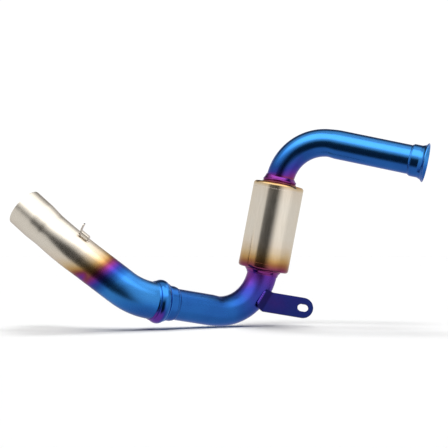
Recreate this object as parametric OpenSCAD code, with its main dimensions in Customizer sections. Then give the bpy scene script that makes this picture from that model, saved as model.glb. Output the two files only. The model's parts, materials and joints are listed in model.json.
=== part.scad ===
// Racing exhaust front section: flared inlet collar, header pipe with one bend, resonator can,
// elbow with a bracket, slip joint, and a tail pipe with a swaged outlet and a spring hook.
// Millimetres. The origin is the centre of the inlet rim. +X points out of the inlet end,
// +Z up, and +Y to the back. Each pipe leaves its bend along a heading: a rise above level
// and a swing towards the back, both in degrees, for a pipe that runs towards -X.

/* [Pipe sizes] */
// Outside diameter of the header pipe
header_od = 38; // [35:0.5:40]
// Outside diameter of the elbow pipe
elbow_od = 40; // [38:0.5:42]
// Wall of every pipe
pipe_wall = 1.2; // [1:0.1:1.5]

/* [Header run] */
// Straight length from the inlet rim to the first bend
header_run = 123; // [80:1:160]
// Centre-line radius of the header bend
header_bend_r = 59; // [50:1:80]
// Rise of the header pipe
header_rise = 12.5; // [0:0.5:20]
// Swing of the header pipe
header_swing = 12.5; // [0:0.5:20]

/* [Inlet collar] */
// Wall of the collar round the header pipe
collar_wall = 2; // [1.5:0.1:3]
// How far the rim stands out past the collar
rim_rise = 4.5; // [3:0.5:8]
// Thickness of the inlet rim's edge
rim_edge = 1.2; // [0.8:0.1:2.5]
// Length of the collar with its flare
collar_len = 19; // [16:1:30]
// Length of the flare
flare_len = 8; // [6:1:10]

/* [Resonator can] */
// Lean of the can from upright
can_lean = 10.5; // [0:0.5:20]
// Outside diameter of the can
can_od = 66; // [60:1:90]
// Length of the can over its caps
can_len = 114; // [80:1:160]
// Outside radius of the cap shoulders
shoulder_r = 6; // [4:0.5:8]
// Wall of the shell and the caps
can_wall = 1.5; // [1:0.1:2]
// Thickness of the wool wrap
wool_wall = 3; // [2:0.5:5]
// Diameter of the core tube's holes
core_hole_d = 4; // [2:0.5:5]
// Distance between rows of holes in the core tube
core_pitch = 10; // [8:1:16]

/* [Elbow run] */
// Centre-line radius of the elbow bend
elbow_bend_r = 59; // [50:1:80]
// Length of straight pipe from the elbow bend to the middle of the slip joint
elbow_run = 82; // [70:1:120]
// Rise of the pipe after the elbow
elbow_rise = 11; // [0:0.5:20]
// Swing of the pipe after the elbow, forwards below zero
elbow_swing = -28; // [-40:0.5:0]

/* [Mounting bracket] */
// Thickness of the bracket plate
bracket_t = 3; // [2:0.5:4]
// Width of the lug
lug_w = 27; // [24:1:32]
// Distance from the fold to the middle of the slot
lug_reach = 48; // [40:1:70]
// Width of the slot
slot_w = 10; // [6:0.5:12]
// Length of the slot, end to end
slot_len = 14; // [12:0.5:18]
// Droop of the lug below level
lug_droop = 9.4; // [0:0.1:15]
// Slant of the fold from square across the lug
fold_slant = 21.8; // [10:0.1:30]
// Fold angle between the lug and the foot
foot_fold = 42; // [30:1:50]
// Width of the foot, from the fold to its welded edge
foot_w = 12; // [10:0.5:14]
// Place of the bracket, in degrees round the elbow bend
bracket_turn = 32.5; // [20:0.5:45]

/* [Slip joint] */
// Radial running clearance between the sleeve and the socket ring
slip_gap = 0.1; // [0.05:0.01:0.1]
// Wall of the sleeve round the elbow pipe
sleeve_wall = 2.5; // [2:0.1:3.5]
// Exposed length of the sleeve
sleeve_show = 12.5; // [10:0.5:40]
// Wall of the socket ring outside its seal groove
ring_wall = 2.5; // [2:0.1:4]
// Length of the socket ring
ring_len = 17; // [15:0.5:24]
// Radial thickness of the graphite seal
seal_t = 2.6; // [2:0.1:3]
// Length of the graphite seal
seal_len = 7; // [5:0.5:8]
// How far the tail pipe is let into the socket ring
tail_lap = 3.5; // [3:0.5:4.5]
// Radial room between the sleeve and the tail pipe
tail_room = 0.3; // [0.2:0.05:1]

/* [Tail run] */
// Length of straight pipe from the middle of the slip joint to the first tail bend
tail_lead = 11; // [11:1:30]
// Centre-line radius of the first tail bend
tail_bend_r = 67; // [60:1:100]
// Rise of the pipe between the tail bends
tail_rise = 37.5; // [25:0.5:45]
// Swing of the pipe between the tail bends
tail_swing = -2.5; // [-10:0.5:10]
// Straight length between the tail bends
tail_run = 66; // [50:1:120]
// Centre-line radius of the second tail bend
outlet_bend_r = 150; // [100:5:200]
// Rise of the outlet
outlet_rise = 41; // [35:0.5:50]
// Swing of the outlet
outlet_swing = 16; // [10:0.5:25]
// Straight length of plain pipe before the swage
outlet_plain = 8; // [2:1:40]
// Length of the swaged outlet
swage_len = 36; // [25:1:60]
// How far the swaged outlet stands out past the plain pipe
swage_rise = 1.5; // [1:0.1:3]

/* [Spring hook] */
// Thickness of the hook strip
hook_t = 1.8; // [1.2:0.1:2.5]
// Width of the hook strip
hook_w = 6; // [4:0.5:10]
// Distance of the hook's middle past the start of the second tail bend
hook_into = 9; // [9:0.5:20]
// Turn of the hook round the pipe, from its top line towards the front
hook_turn = 26; // [0:1:60]
// Height of the hook's bridge over the pipe
hook_rise = 5.6; // [4:0.1:7]
// Distance between the hook's feet
hook_span = 12; // [10:0.5:16]
// Height of the hook's tongue above the bridge
tongue_h = 10; // [6:0.5:12]

/* [Welds] */
// Radius of a weld bead
bead_r = 1.4; // [0.8:0.1:1.8]

/* [Hidden] */
$fn = 72;
cut = 1;                                 // how far a cutter runs past what it cuts
lap = 0.5;                               // how far a straight stretch of pipe runs into a bend
hair = 0.08;                             // how much thicker a bend's wall is, on each side

// Radii that several pieces share
header_r = header_od / 2;
header_bore = header_r - pipe_wall;
elbow_r = elbow_od / 2;
elbow_bore = elbow_r - pipe_wall;
can_r = can_od / 2;
collar_r = header_r + collar_wall;
rim_r = collar_r + rim_rise;
sleeve_r = elbow_r + sleeve_wall;
ring_bore = sleeve_r + slip_gap;
tail_r = sleeve_r + tail_room + pipe_wall;
outlet_r = tail_r + swage_rise;

// Stations along the can's axis, measured from the end of the header bend
neck_top = 0.3;                          // top of the upper neck, just below the bend
can_top = 5.2;                           // outer face of the top cap
header_end = 3.8;                        // end of the header pipe inside the upper neck
core_start = 5.5;
can_bottom = can_top + can_len;
core_end = can_bottom + 0.3;
neck_reach = 3.8;                        // how far each neck reaches past its cap's outer face
elbow_start = core_end + 1.5;            // end of the elbow pipe inside the lower neck
neck_bottom = can_bottom + 3.6;
can_run = neck_bottom + 0.2;             // end of the straight stretch, where the elbow bend starts
upper_neck_r = header_r + 2.8;
upper_spigot_r = header_r + 1.5;
lower_bore = max(elbow_r, header_r);     // the wider of the two tubes that the lower neck holds
lower_neck_r = lower_bore + 2.6;
lower_spigot_r = lower_bore + 1.5;
skirt = 2;                               // straight edge of a cap beyond its shoulder

// Slip joint, along its own axis from the middle of the ring's bead
mouth = -ring_len / 2;
sleeve_end = ring_len / 2 + 0.5;         // inner end of the sleeve
elbow_end = mouth - 5.5;                 // end of the elbow pipe inside the sleeve
sleeve_start = mouth - sleeve_show;
tail_start = ring_len / 2 - tail_lap;
seal_gap = 0.3;                          // room between the seal and its groove
groove_r = ring_bore + seal_t + seal_gap;
ring_r = groove_r + ring_wall;
bead_curve = 8;                          // radius of the bead's own round section
swage_step = 3;                          // length of the cone up to the swaged outlet
outlet_run = outlet_plain + swage_step + swage_len;
fold_gap = 1.0;                          // room between the fold and the pipe's side
foot_sink = 0.5;                         // how far the flat foot is let down onto the round pipe
lip_r = tail_r + 0.3;                    // ring outside the bead

// Vector helpers
function unit(v) = v / norm(v);
function heading(rise, swing) =
    [-cos(swing) * cos(rise), sin(swing), cos(swing) * sin(rise)];
function turn(a, b) = acos(a * b);
function inward(a, b) = unit(b - (a * b) * a);
function arc_end(at, a, b, r) = at + (a + b) * r * tan(turn(a, b) / 2);

// Headings of the five straight stretches
header_way = heading(header_rise, header_swing);
can_way = heading(can_lean - 90, 0);
elbow_way = heading(elbow_rise, elbow_swing);
tail_way = heading(tail_rise, tail_swing);
outlet_way = heading(outlet_rise, outlet_swing);

// Corner points of the centre line, in order from the inlet
bend_1 = header_way * header_run;
can_origin = arc_end(bend_1, header_way, can_way, header_bend_r);
bend_2 = can_origin + can_way * can_run;
bend_2_end = arc_end(bend_2, can_way, elbow_way, elbow_bend_r);
joint_centre = bend_2_end + elbow_way * elbow_run;
bend_3 = joint_centre + elbow_way * tail_lead;
bend_3_end = arc_end(bend_3, elbow_way, tail_way, tail_bend_r);
bend_4 = bend_3_end + tail_way * tail_run;
bend_4_end = arc_end(bend_4, tail_way, outlet_way, outlet_bend_r);

// Moves children so that their z axis is 'way' and their x axis leans to 'side'
module put(at, way, side) {
    x = unit(side - (side * way) * way);
    y = cross(way, x);
    multmatrix([
        [x[0], y[0], way[0], at[0]],
        [x[1], y[1], way[1], at[1]],
        [x[2], y[2], way[2], at[2]],
        [0, 0, 0, 1]
    ]) children();
}

// On the can's axis or the slip joint's axis, with x towards the front
module on_can() { put(can_origin, can_way, [0, -1, 0]) children(); }
module on_joint() { put(joint_centre, elbow_way, [0, -1, 0]) children(); }

// A ring of rectangular section between two radii and two stations
module ring(r_in, r_out, z0, z1) {
    translate([0, 0, z0]) difference() {
        cylinder(r = r_out, h = z1 - z0);
        translate([0, 0, -cut]) cylinder(r = r_in, h = z1 - z0 + 2 * cut);
    }
}

// A straight hollow stretch from z0 to z1 along a heading from a point. Where it meets a bend it
// runs on by 'lap', and the bend's wall is a hair thicker, so that the stretch ends inside that wall.
module straight(at, way, r, z0, z1) {
    put(at, way, [0, -1, 0]) ring(r - pipe_wall, r, z0, z1);
}

// A hollow bend from heading a to heading b that starts at a point
module bend(at, a, b, bend_r, r) {
    centre_way = inward(a, b);
    put(at + centre_way * bend_r, cross(a, centre_way), -centre_way)
        rotate_extrude(angle = turn(a, b)) translate([bend_r, 0]) difference() {
            circle(r = r + hair);
            circle(r = r - pipe_wall - hair);
        }
}

// The same bend as a solid bar, for cutting what sits on the pipe
module bend_bar(at, a, b, bend_r, r) {
    centre_way = inward(a, b);
    put(at + centre_way * bend_r, cross(a, centre_way), -centre_way)
        rotate_extrude(angle = turn(a, b)) translate([bend_r, 0]) circle(r = r + hair);
}

// A bead in the corner between a pipe and the end face of what is round it
module corner_bead(r, z, up) {
    translate([0, 0, z]) mirror([0, 0, up ? 0 : 1])
        rotate_extrude() translate([r, 0]) intersection() {
            circle(r = bead_r);
            square(bead_r + cut);
        }
}

module inlet_collar() {
    pipe_stop = flare_len + 1;           // where the header pipe's end seats in the collar
    color("royalblue") put([0, 0, 0], header_way, [0, -1, 0]) difference() {
        union() {
            cylinder(r1 = rim_r, r2 = collar_r, h = flare_len);
            translate([0, 0, flare_len]) cylinder(r = collar_r, h = collar_len - flare_len);
        }
        translate([0, 0, pipe_stop]) cylinder(r = header_r, h = collar_len);
        translate([0, 0, -cut]) cylinder(r = header_bore, h = collar_len);
        cylinder(r1 = rim_r - rim_edge, r2 = header_bore, h = pipe_stop);
    }
}

module inlet_weld() {
    color("steelblue") put([0, 0, 0], header_way, [0, -1, 0])
        corner_bead(header_r, collar_len, true);
}

module header_pipe() {
    color("royalblue") {
        straight([0, 0, 0], header_way, header_r, flare_len + 1, header_run + lap);
        bend(bend_1, header_way, can_way, header_bend_r, header_r);
        straight(can_origin, can_way, header_r, -lap, header_end);
    }
}

module upper_neck() {
    color("mediumvioletred") on_can() difference() {
        union() {
            translate([0, 0, neck_top]) cylinder(r = upper_neck_r, h = can_top - neck_top);
            translate([0, 0, can_top - cut]) cylinder(r = upper_spigot_r, h = neck_reach + cut);
        }
        cylinder(r = header_r, h = header_end);
        cylinder(r = header_bore, h = can_top + neck_reach + cut);
        translate([0, 0, core_start]) cylinder(r = header_r, h = neck_reach + cut);
    }
}

// One bead on the header pipe and one on the top cap
module upper_neck_weld() {
    color("orchid") on_can() {
        corner_bead(header_r + 2 * hair, neck_top, false);
        corner_bead(upper_neck_r, can_top, false);
    }
}

// Half section of a cap's outside, from its flat face at z = 0 down to its edge
module cap_outline(r, shoulder, depth) {
    square([r - shoulder, depth]);
    translate([0, shoulder]) square([r, depth - shoulder]);
    intersection() {
        translate([r - shoulder, shoulder]) circle(r = shoulder);
        square([r, shoulder]);
    }
}

module cap(hole_r) {
    depth = shoulder_r + skirt;
    rotate_extrude() difference() {
        cap_outline(can_r, shoulder_r, depth);
        translate([0, can_wall])
            cap_outline(can_r - can_wall, shoulder_r - can_wall, depth);
        translate([0, -cut]) square([hole_r, depth]);
    }
}

module can_top_cap() {
    color("wheat") on_can() translate([0, 0, can_top]) cap(upper_spigot_r);
}

module can_bottom_cap() {
    color("tan") on_can() translate([0, 0, can_bottom]) mirror([0, 0, 1]) cap(lower_spigot_r);
}

module can_shell() {
    edge = shoulder_r + skirt;
    color("silver") on_can() ring(can_r - can_wall, can_r, can_top + edge, can_bottom - edge);
}

// A low raised seam along the back of the shell
module shell_seam_weld() {
    edge = shoulder_r + skirt + cut;
    seam_w = 2.4;
    seam_h = 0.6;
    spread = seam_w / can_r * 180 / PI;
    color("gray") on_can() rotate([0, 0, 180 - spread / 2])
        rotate_extrude(angle = spread) translate([can_r, can_top + edge])
            square([seam_h, can_len - 2 * edge]);
}

// The perforated tube that carries the gas through the can
module core_tube() {
    rows = floor((can_len - 2 * (neck_reach + core_pitch)) / core_pitch);
    first = can_top + (can_len - (rows - 1) * core_pitch) / 2;
    holes_across = 4;
    color("lightgray") on_can() difference() {
        ring(header_bore, header_r, core_start, core_end);
        for (row = [0 : rows - 1], i = [0 : holes_across - 1])
            translate([0, 0, first + row * core_pitch])
                rotate([0, 0, (i + (row % 2) / 2) * 180 / holes_across]) rotate([90, 0, 0])
                    cylinder(d = core_hole_d, h = header_od + 2 * cut, center = true, $fn = 24);
    }
}

module wool_wrap() {
    color("darkgray") on_can()
        ring(header_r, header_r + wool_wall, can_top + neck_reach, can_bottom - neck_reach);
}

module fibre_packing() {
    inset = 1;
    color("lemonchiffon") on_can()
        ring(header_r + wool_wall, can_r - can_wall, can_top + shoulder_r + inset,
            can_bottom - shoulder_r - inset);
}

module lower_neck() {
    color("purple") on_can() difference() {
        union() {
            translate([0, 0, can_bottom - neck_reach])
                cylinder(r = lower_spigot_r, h = neck_reach + cut);
            translate([0, 0, can_bottom]) cylinder(r = lower_neck_r, h = neck_bottom - can_bottom);
        }
        translate([0, 0, can_bottom - neck_reach - cut])
            cylinder(r = header_r, h = core_end - can_bottom + neck_reach + cut);
        translate([0, 0, core_end - cut]) cylinder(r = header_bore, h = 2 * neck_reach);
        translate([0, 0, elbow_start]) cylinder(r = elbow_r, h = neck_reach);
    }
}

// One bead on the bottom cap and one on the elbow pipe
module lower_neck_weld() {
    color("rebeccapurple") on_can() {
        corner_bead(lower_neck_r, can_bottom, true);
        corner_bead(elbow_r + 2 * hair, neck_bottom, true);
    }
}

module elbow_pipe() {
    color("royalblue") {
        straight(can_origin, can_way, elbow_r, elbow_start, can_run + lap);
        bend(bend_2, can_way, elbow_way, elbow_bend_r, elbow_r);
        straight(joint_centre, elbow_way, elbow_r, -elbow_run - lap, elbow_end);
    }
}

// The bracket is a lug and a foot that meet on a fold line beside the elbow. Its plane holds the
// lug's own direction and the elbow's direction at the bracket. Local x runs along the lug, y up
// across it and z to the front, from the middle of the fold.
elbow_centre_way = inward(can_way, elbow_way);
bracket_out = sin(bracket_turn) * can_way - cos(bracket_turn) * elbow_centre_way;
bracket_way = cos(bracket_turn) * can_way + sin(bracket_turn) * elbow_centre_way;
bracket_axis = bend_2 + (elbow_centre_way + bracket_out) * elbow_bend_r;
lug_way = [cos(lug_droop), 0, -sin(lug_droop)];
lug_face = unit(cross(lug_way, -bracket_way));
lug_up = cross(lug_face, lug_way);
fold_side = lug_way * cos(fold_slant) - lug_up * sin(fold_slant);
fold_out = elbow_r + fold_gap;
fold_front = (elbow_r - foot_sink - fold_out * sin(foot_fold)) / cos(foot_fold);
fold_centre = bracket_axis + fold_side * fold_out + lug_face * fold_front;
foot_len = lug_w;

module on_fold() { put(fold_centre, lug_face, lug_way) children(); }
module on_foot() { on_fold() rotate([0, 0, -fold_slant]) rotate([0, foot_fold, 0]) children(); }

module lug_outline() {
    slant = lug_w / 2 * tan(fold_slant);
    difference() {
        union() {
            polygon([
                [-slant, -lug_w / 2], [lug_reach, -lug_w / 2],
                [lug_reach, lug_w / 2], [slant, lug_w / 2]
            ]);
            translate([lug_reach, 0]) circle(d = lug_w);
        }
        for (side = [-1, 1])
            translate([lug_reach + side * (slot_len - slot_w) / 2, 0]) circle(d = slot_w);
        translate([lug_reach, 0]) square([slot_len - slot_w, slot_w], center = true);
    }
}

module foot() {
    on_foot() translate([-foot_w, -foot_len / 2, 0]) cube([foot_w, foot_len, bracket_t]);
}

module elbow_cutter() { bend_bar(bend_2, can_way, elbow_way, elbow_bend_r, elbow_r); }

module mounting_bracket() {
    color("indigo") difference() {
        union() {
            on_fold() linear_extrude(bracket_t) lug_outline();
            foot();
        }
        elbow_cutter();
    }
}

// The stitch of weld along the foot's far edge
module bracket_weld() {
    stitch_r = 1.3 * bead_r;
    color("slateblue") difference() {
        on_foot() translate([-foot_w, 0, bracket_t / 4]) rotate([90, 0, 0])
            cylinder(r = stitch_r, h = foot_len - 4 * bead_r, center = true);
        foot();
        elbow_cutter();
    }
}

module joint_sleeve() {
    step = 3;                            // length of the thinner step at the sleeve's outer end
    color("royalblue") on_joint() difference() {
        union() {
            translate([0, 0, sleeve_start]) cylinder(r = sleeve_r - 1, h = step);
            translate([0, 0, sleeve_start + step])
                cylinder(r = sleeve_r, h = sleeve_end - sleeve_start - step);
        }
        translate([0, 0, sleeve_start - cut]) cylinder(r = elbow_r, h = elbow_end - sleeve_start + cut);
        translate([0, 0, sleeve_start]) cylinder(r = elbow_bore, h = sleeve_end - sleeve_start + cut);
    }
}

module sleeve_weld() {
    color("navy") on_joint() corner_bead(elbow_r, sleeve_start, false);
}

module joint_seal() {
    color("dimgray") on_joint()
        ring(ring_bore - slip_gap / 2, ring_bore + seal_t, -seal_len / 2, seal_len / 2);
}

module socket_ring() {
    groove_len = seal_len + 2 * seal_gap;
    color("dodgerblue") on_joint() rotate_extrude() difference() {
        union() {
            translate([0, mouth]) square([lip_r, ring_len / 2]);
            translate([0, tail_start]) square([tail_r + bead_r, tail_lap]);
            translate([ring_r - bead_curve, 0]) circle(r = bead_curve);
        }
        translate([-ring_r, mouth - cut]) square([ring_r + ring_bore, ring_len + 2 * cut]);
        translate([0, -groove_len / 2]) square([groove_r, groove_len]);
        translate([0, tail_start]) square([tail_r, ring_len]);
    }
}

module socket_weld() {
    color("rebeccapurple") on_joint() corner_bead(tail_r, ring_len / 2, true);
}

module tail_pipe() {
    color("lightsteelblue") {
        straight(joint_centre, elbow_way, tail_r, tail_start, tail_lead + lap);
        bend(bend_3, elbow_way, tail_way, tail_bend_r, tail_r);
        straight(bend_3_end, tail_way, tail_r, -lap, tail_run + lap);
        bend(bend_4, tail_way, outlet_way, outlet_bend_r, tail_r);
        put(bend_4_end, outlet_way, [0, -1, 0]) rotate_extrude() polygon([
            [tail_r - pipe_wall, -lap], [tail_r, -lap], [tail_r, outlet_plain],
            [outlet_r, outlet_plain + swage_step], [outlet_r, outlet_run],
            [outlet_r - pipe_wall, outlet_run], [outlet_r - pipe_wall, outlet_plain + swage_step],
            [tail_r - pipe_wall, outlet_plain]
        ]);
    }
}

// The hook stands on the second tail bend. Its frame has x along the pipe towards the outlet and
// y straight out of the pipe, from the middle of the hook at the pipe's centre line.
outlet_centre_way = inward(tail_way, outlet_way);
hook_arc = hook_into / outlet_bend_r * 180 / PI;
hook_way = cos(hook_arc) * tail_way + sin(hook_arc) * outlet_centre_way;
hook_foot = arc_end(bend_4, tail_way, hook_way, outlet_bend_r);
hook_up = unit(cross([0, 1, 0], hook_way));
hook_out = cos(hook_turn) * hook_up + sin(hook_turn) * cross(hook_up, hook_way);
module on_hook() { put(hook_foot, cross(hook_way, hook_out), hook_way) children(); }

module strip(from, to) {
    hull() for (p = [from, to]) translate(p) circle(d = hook_t, $fn = 24);
}

// The pipe under the hook as a solid bar
module tail_cutter(room) {
    bend_bar(bend_4, tail_way, outlet_way, outlet_bend_r, tail_r + room);
}

// The bent strip before its feet are cut to the pipe
module bent_strip() {
    sink = tail_r - 1;
    bridge = tail_r + hook_rise - hook_t / 2;
    near = -hook_span / 2;
    far = hook_span / 2;
    shoulder = [far + 1.5, bridge];      // where the bridge meets the far leg
    knee = [far + 2.5, bridge + 3.2];
    tip = [far + 3.2, bridge + tongue_h];
    on_hook() linear_extrude(hook_w, center = true) {
        strip([near, sink], [near + 0.5, bridge]);
        strip([near + 0.5, bridge], shoulder);
        strip([far, sink], shoulder);
        strip(shoulder, knee);
        strip(knee, tip);
    }
}

module spring_hook() {
    color("silver") difference() {
        bent_strip();
        tail_cutter(0);
    }
}

// A fillet of weld on the outer side of each of the hook's feet
module hook_weld() {
    reach = hook_span / 2 + hook_t / 2;
    color("gray") difference() {
        on_hook() linear_extrude(hook_w - 1, center = true)
            for (side = [-reach, reach]) translate([side, tail_r]) circle(r = bead_r);
        bent_strip();
        tail_cutter(hair);
    }
}

inlet_collar();
inlet_weld();
header_pipe();
upper_neck();
upper_neck_weld();
can_top_cap();
can_shell();
shell_seam_weld();
can_bottom_cap();
core_tube();
wool_wrap();
fibre_packing();
lower_neck();
lower_neck_weld();
elbow_pipe();
mounting_bracket();
bracket_weld();
joint_sleeve();
sleeve_weld();
joint_seal();
socket_ring();
socket_weld();
tail_pipe();
spring_hook();
hook_weld();
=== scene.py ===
import json
import math

import bmesh
import bpy
import numpy as np
from mathutils import Matrix, Vector


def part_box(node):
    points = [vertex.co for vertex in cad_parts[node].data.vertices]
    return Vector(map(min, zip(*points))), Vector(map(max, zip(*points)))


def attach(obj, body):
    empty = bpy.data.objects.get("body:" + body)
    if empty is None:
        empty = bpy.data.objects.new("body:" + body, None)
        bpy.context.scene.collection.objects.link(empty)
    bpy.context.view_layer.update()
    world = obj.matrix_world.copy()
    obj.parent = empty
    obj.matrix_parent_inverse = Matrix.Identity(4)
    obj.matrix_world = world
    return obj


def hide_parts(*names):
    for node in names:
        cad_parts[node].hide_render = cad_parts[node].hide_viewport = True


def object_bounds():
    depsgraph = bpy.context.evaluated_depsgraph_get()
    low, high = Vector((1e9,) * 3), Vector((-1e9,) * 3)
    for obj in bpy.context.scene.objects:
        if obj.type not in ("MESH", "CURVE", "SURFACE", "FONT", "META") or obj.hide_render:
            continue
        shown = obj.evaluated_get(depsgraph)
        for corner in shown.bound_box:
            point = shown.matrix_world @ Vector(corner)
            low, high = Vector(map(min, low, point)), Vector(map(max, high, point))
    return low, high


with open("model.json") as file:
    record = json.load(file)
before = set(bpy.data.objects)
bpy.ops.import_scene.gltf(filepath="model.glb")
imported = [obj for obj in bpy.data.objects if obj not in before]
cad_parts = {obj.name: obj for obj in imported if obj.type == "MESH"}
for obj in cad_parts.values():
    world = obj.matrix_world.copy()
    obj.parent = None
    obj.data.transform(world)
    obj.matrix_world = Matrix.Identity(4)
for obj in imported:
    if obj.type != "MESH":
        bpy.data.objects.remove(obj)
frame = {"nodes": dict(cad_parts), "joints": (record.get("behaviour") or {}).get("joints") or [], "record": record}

# Looks of a race exhaust's front section: heat-tinted pipes, a brushed resonator can, a slip joint,
# rippled weld beads, a folded bracket and a spring hook. Lengths are metres, and MM turns
# millimetres into them. Places come from the frame's mounts, joints and nodes.

cad_low, cad_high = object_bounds()
MM = 0.001
record = frame["record"]
mounts = {m["name"]: m for m in record["mounts"]}
joints = {j["name"]: j for j in frame["joints"]}

# Driving sizes of the pipes
HEADER_R = 19 * MM
ELBOW_R = 20 * MM
SLEEVE_R = 22.5 * MM
TAIL_R = 24 * MM
OUTLET_R = 25.5 * MM
WALL = 1.2 * MM
HEADER_BEND_R = 59 * MM
ELBOW_BEND_R = 59 * MM
TAIL_BEND_R = 67 * MM
OUTLET_BEND_R = 150 * MM
TAIL_LEAD = 11 * MM                      # from the slip joint to the first tail bend
OUTLET_PLAIN = 8 * MM                    # from the second tail bend to the swage
SWAGE_STEP = 3 * MM
SWAGE_LEN = 36 * MM
SEAM_GAP = 0.1 * MM                      # between a ring and the pipe it is welded to

AROUND = 144                             # faces round a pipe
STEP = 1.6 * MM                          # longest face along a pipe
FRONT = Vector((0, -1, 0))


# ---------------------------------------------------------------- centre line

def place(name):
    return Vector(mounts[name]["pos_m"])


def axis_of(name):
    return Vector(mounts[name]["axis"]).normalized()


def middle(node):
    low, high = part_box(node)
    return (low + high) / 2


class Run:
    """A centre line of straights and round bends. Its frames turn with the bends and don't twist."""

    def __init__(self, corners, radii=(), side=FRONT):
        self.parts = []
        self.bends = []
        station = 0.0
        at = corners[0]
        way = (corners[1] - corners[0]).normalized()
        side = (side - side.dot(way) * way).normalized()
        for i in range(1, len(corners)):
            cut = 0.0
            if i < len(corners) - 1:
                onward = (corners[i + 1] - corners[i]).normalized()
                angle = way.angle(onward)
                cut = radii[i - 1] * math.tan(angle / 2)
            length = (corners[i] - at).length - cut
            self.parts.append((station, length, at, way, side, None))
            station += length
            at = at + way * length
            if i < len(corners) - 1:
                radius = radii[i - 1]
                axis = way.cross(onward).normalized()
                centre = at + axis.cross(way) * radius
                self.parts.append((station, radius * angle, at, way, side, (centre, axis, radius)))
                turned = Matrix.Rotation(angle, 3, axis)
                self.bends.append((station, station + radius * angle, centre))
                at = centre + turned @ (at - centre)
                way, side = turned @ way, turned @ side
                station += radius * angle
        self.length = station

    def at(self, station):
        """Point, way, side and up of the centre line at a station, which may lie past its ends."""
        part = self.parts[0]
        for candidate in self.parts:
            if candidate[0] <= station + 1e-12:
                part = candidate
        start, _, point, way, side, bend = part
        if bend is None:
            point = point + way * (station - start)
        else:
            centre, axis, radius = bend
            turned = Matrix.Rotation((station - start) / radius, 3, axis)
            point = centre + turned @ (point - centre)
            way, side = turned @ way, turned @ side
        return point, way, side, way.cross(side)

    def bend_lean(self, station, fade=14 * MM):
        """How far into a bend a station is, from 0 to 1, and the way towards the bend's centre."""
        for first, last, centre in self.bends:
            share = min(station - first, last - station) / fade + 0.5
            if share > 0:
                share = min(share, 1.0)
                point, way, _, _ = self.at(station)
                inward = centre - point
                inward = (inward - inward.dot(way) * way).normalized()
                return share * share * (3 - 2 * share), inward
        return 0.0, FRONT


def crossing(point_a, way_a, point_b, way_b):
    """The point halfway between two lines where they pass closest."""
    w = point_a - point_b
    b, d, e = way_a.dot(way_b), way_a.dot(w), way_b.dot(w)
    share = 1 - b * b
    return (point_a + way_a * ((b * e - d) / share) + point_b + way_b * ((e - b * d) / share)) / 2


def tail_corners(start, start_way, end, end_way):
    """Corners before and after the tail's middle straight, from the joint and outlet lines."""
    tail_way = (end - start).normalized()
    for _ in range(30):
        reach = TAIL_LEAD + TAIL_BEND_R * math.tan(start_way.angle(tail_way) / 2)
        back = OUTLET_PLAIN + SWAGE_STEP + SWAGE_LEN
        back += OUTLET_BEND_R * math.tan(tail_way.angle(end_way) / 2)
        first, second = start + start_way * reach, end - end_way * back
        tail_way = (second - first).normalized()
    return first, second


inlet_out = axis_of("inlet_face")
inlet = place("inlet_face")
upper_neck_at = middle("upper_neck")
lower_neck_at = middle("lower_neck")
can_way = (lower_neck_at - upper_neck_at).normalized()
joint_at = Vector(joints["joint_swivel"]["pos_m"])
joint_way = Vector(joints["joint_swivel"]["axis"]).normalized()
outlet_way = axis_of("outlet_pin")
outlet_end = place("outlet_pin") + outlet_way * mounts["outlet_pin"]["dims"]["length_mm"] / 2 * MM

corner_1 = crossing(inlet, inlet_out, upper_neck_at, can_way)
corner_2 = crossing(upper_neck_at, can_way, joint_at, joint_way)
corner_3, corner_4 = tail_corners(joint_at, joint_way, outlet_end, outlet_way)
gas_line = Run(
    [inlet, corner_1, corner_2, corner_3, corner_4, outlet_end],
    [HEADER_BEND_R, ELBOW_BEND_R, TAIL_BEND_R, OUTLET_BEND_R])


def station_near(point):
    """Station of the gas line that is nearest to a point, to a tenth of a millimetre."""
    best = min(range(int(gas_line.length / MM)),
               key=lambda i: (gas_line.at(i * MM)[0] - point).length)
    nearby = [best * MM + k * 0.1 * MM for k in range(-10, 11)]
    return min(nearby, key=lambda s: (gas_line.at(s)[0] - point).length)


header_bend, elbow_bend, _, outlet_bend = [(b[0], b[1]) for b in gas_line.bends]
can_start = header_bend[1]                # station zero of the can's own measures
CAN_R = 33 * MM
CAN_LEN = 114 * MM
CAN_WALL = 1.5 * MM
CAP_SKIRT = 8 * MM                       # length of a cap's straight side with its shoulder
CAP_SHOULDER = 6 * MM
CAP_TOP = can_start + 5.2 * MM
CAP_BOTTOM = CAP_TOP + CAN_LEN
joint_station = station_near(joint_at)


# ---------------------------------------------------------------- heat tint

# Oxide colours of heated steel, from bare metal to the hottest blue
TINTS = [
    (0.00, (0.70, 0.655, 0.58)),
    (0.10, (0.69, 0.61, 0.51)),
    (0.20, (0.60, 0.46, 0.28)),
    (0.28, (0.48, 0.29, 0.11)),
    (0.35, (0.30, 0.12, 0.05)),
    (0.42, (0.20, 0.04, 0.08)),
    (0.48, (0.20, 0.03, 0.18)),
    (0.56, (0.11, 0.03, 0.29)),
    (0.64, (0.035, 0.04, 0.30)),
    (0.74, (0.016, 0.07, 0.30)),
    (0.88, (0.022, 0.14, 0.46)),
    (1.00, (0.045, 0.24, 0.62)),
]


def along(*stops):
    """A function of the station that passes through (station, heat) points."""
    at, heat = zip(*stops)
    return lambda s: np.interp(s, at, heat)


def soft_step(x, low, high):
    share = np.clip((x - low) / (high - low), 0, 1)
    return share * share * (3 - 2 * share)


# ---------------------------------------------------------------- node helpers

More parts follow.
